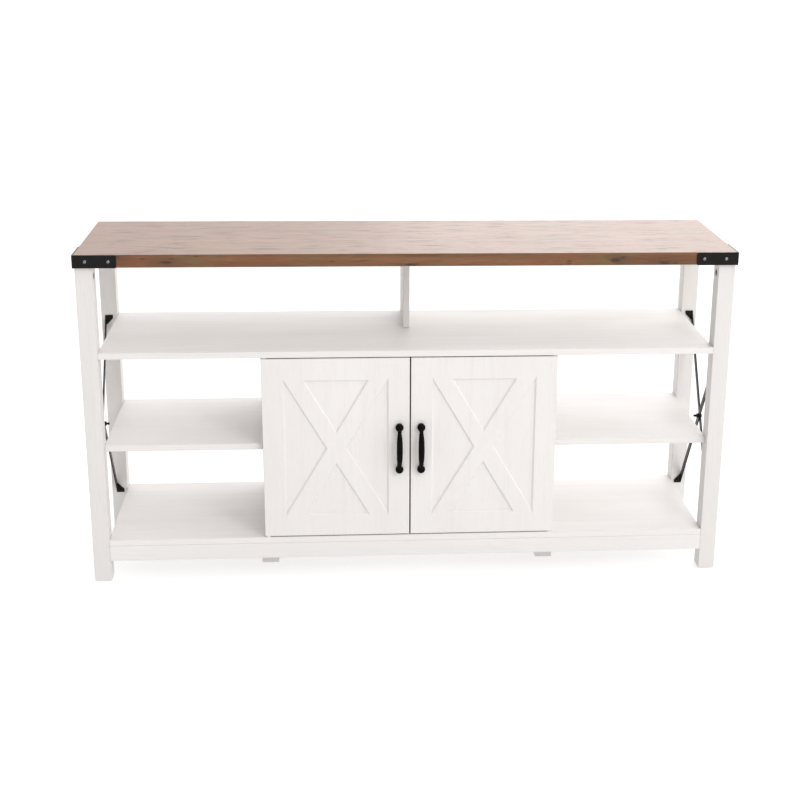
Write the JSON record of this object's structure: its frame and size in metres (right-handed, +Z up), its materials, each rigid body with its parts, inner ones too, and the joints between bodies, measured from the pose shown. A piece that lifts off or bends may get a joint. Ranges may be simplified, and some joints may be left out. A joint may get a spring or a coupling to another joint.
{
  "type": "tv stand with doors",
  "caption": "Low media stand: plank top on four legs, open side shelves, a cabinet with crossed-bar doors on pivots, corner brackets and end cross braces.",
  "frame": {"origin": "bottom centre of the whole object's box, on the floor", "axes": "+X along the stand's length, to the right when facing the doors; -Y is the side of the doors; +Z up"},
  "size_m": [1.477, 0.4, 0.778],
  "materials": {
    "oak_top": "rustic oak grain, matte laminate",
    "white_board": "off-white board with faint embossed wood grain, satin",
    "black_metal": "black powder coat, semi-matte",
    "bright_screw": "bright plated screw heads",
    "steel": "zinc plated",
    "dark_zinc": "dark die-cast zinc",
    "nylon": "natural nylon",
    "dark_plastic": "moulded, fine texture",
    "beech": "raw fluted beech"
  },
  "bodies": {
    "stand": {"top_panel": "oak_top", "front_left_leg": "white_board", "front_right_leg": "white_board", "back_left_leg": "white_board", "back_right_leg": "white_board", "long_shelf": "white_board", "left_mid_shelf": "white_board", "right_mid_shelf": "white_board", "bottom_panel": "white_board", "front_apron": "white_board", "rear_apron": "white_board", "centre_divider": "white_board", "left_cabinet_side": "white_board", "right_cabinet_side": "white_board", "cabinet_back": "white_board", "inner_shelf": "white_board", "shelf_pins": "steel", "front_left_foot": "white_board", "front_right_foot": "white_board", "back_left_foot": "white_board", "back_right_foot": "white_board", "floor_glides": "dark_plastic", "pivot_bushes": "nylon", "left_catch": "dark_plastic", "right_catch": "dark_plastic", "left_corner_bracket": "black_metal", "right_corner_bracket": "black_metal", "bracket_screws": "bright_screw", "left_outer_brace": "black_metal", "left_inner_brace": "black_metal", "right_outer_brace": "black_metal", "right_inner_brace": "black_metal", "brace_bolts": "black_metal", "brace_nuts": "black_metal", "brace_screws": "black_metal", "cam_locks": "dark_zinc", "cam_bolts": "steel", "dowels": "beech"},
    "left_door": {"left_door": "white_board", "left_handle": "black_metal", "left_handle_screws": "steel", "left_pivot_pins": "steel", "left_strike_plate": "steel"},
    "right_door": {"right_door": "white_board", "right_handle": "black_metal", "right_handle_screws": "steel", "right_pivot_pins": "steel", "right_strike_plate": "steel"}
  },
  "joints": [
    {"name": "left_door_hinge", "type": "hinge", "parent": "stand", "child": "left_door", "pos_m": [-0.3295, -0.162, 0.3215], "axis": [0, 0, -1], "range_deg": [0, 110]},
    {"name": "right_door_hinge", "type": "hinge", "parent": "stand", "child": "right_door", "pos_m": [0.3295, -0.162, 0.3215], "axis": [0, 0, 1], "range_deg": [0, 110]}
  ]
}
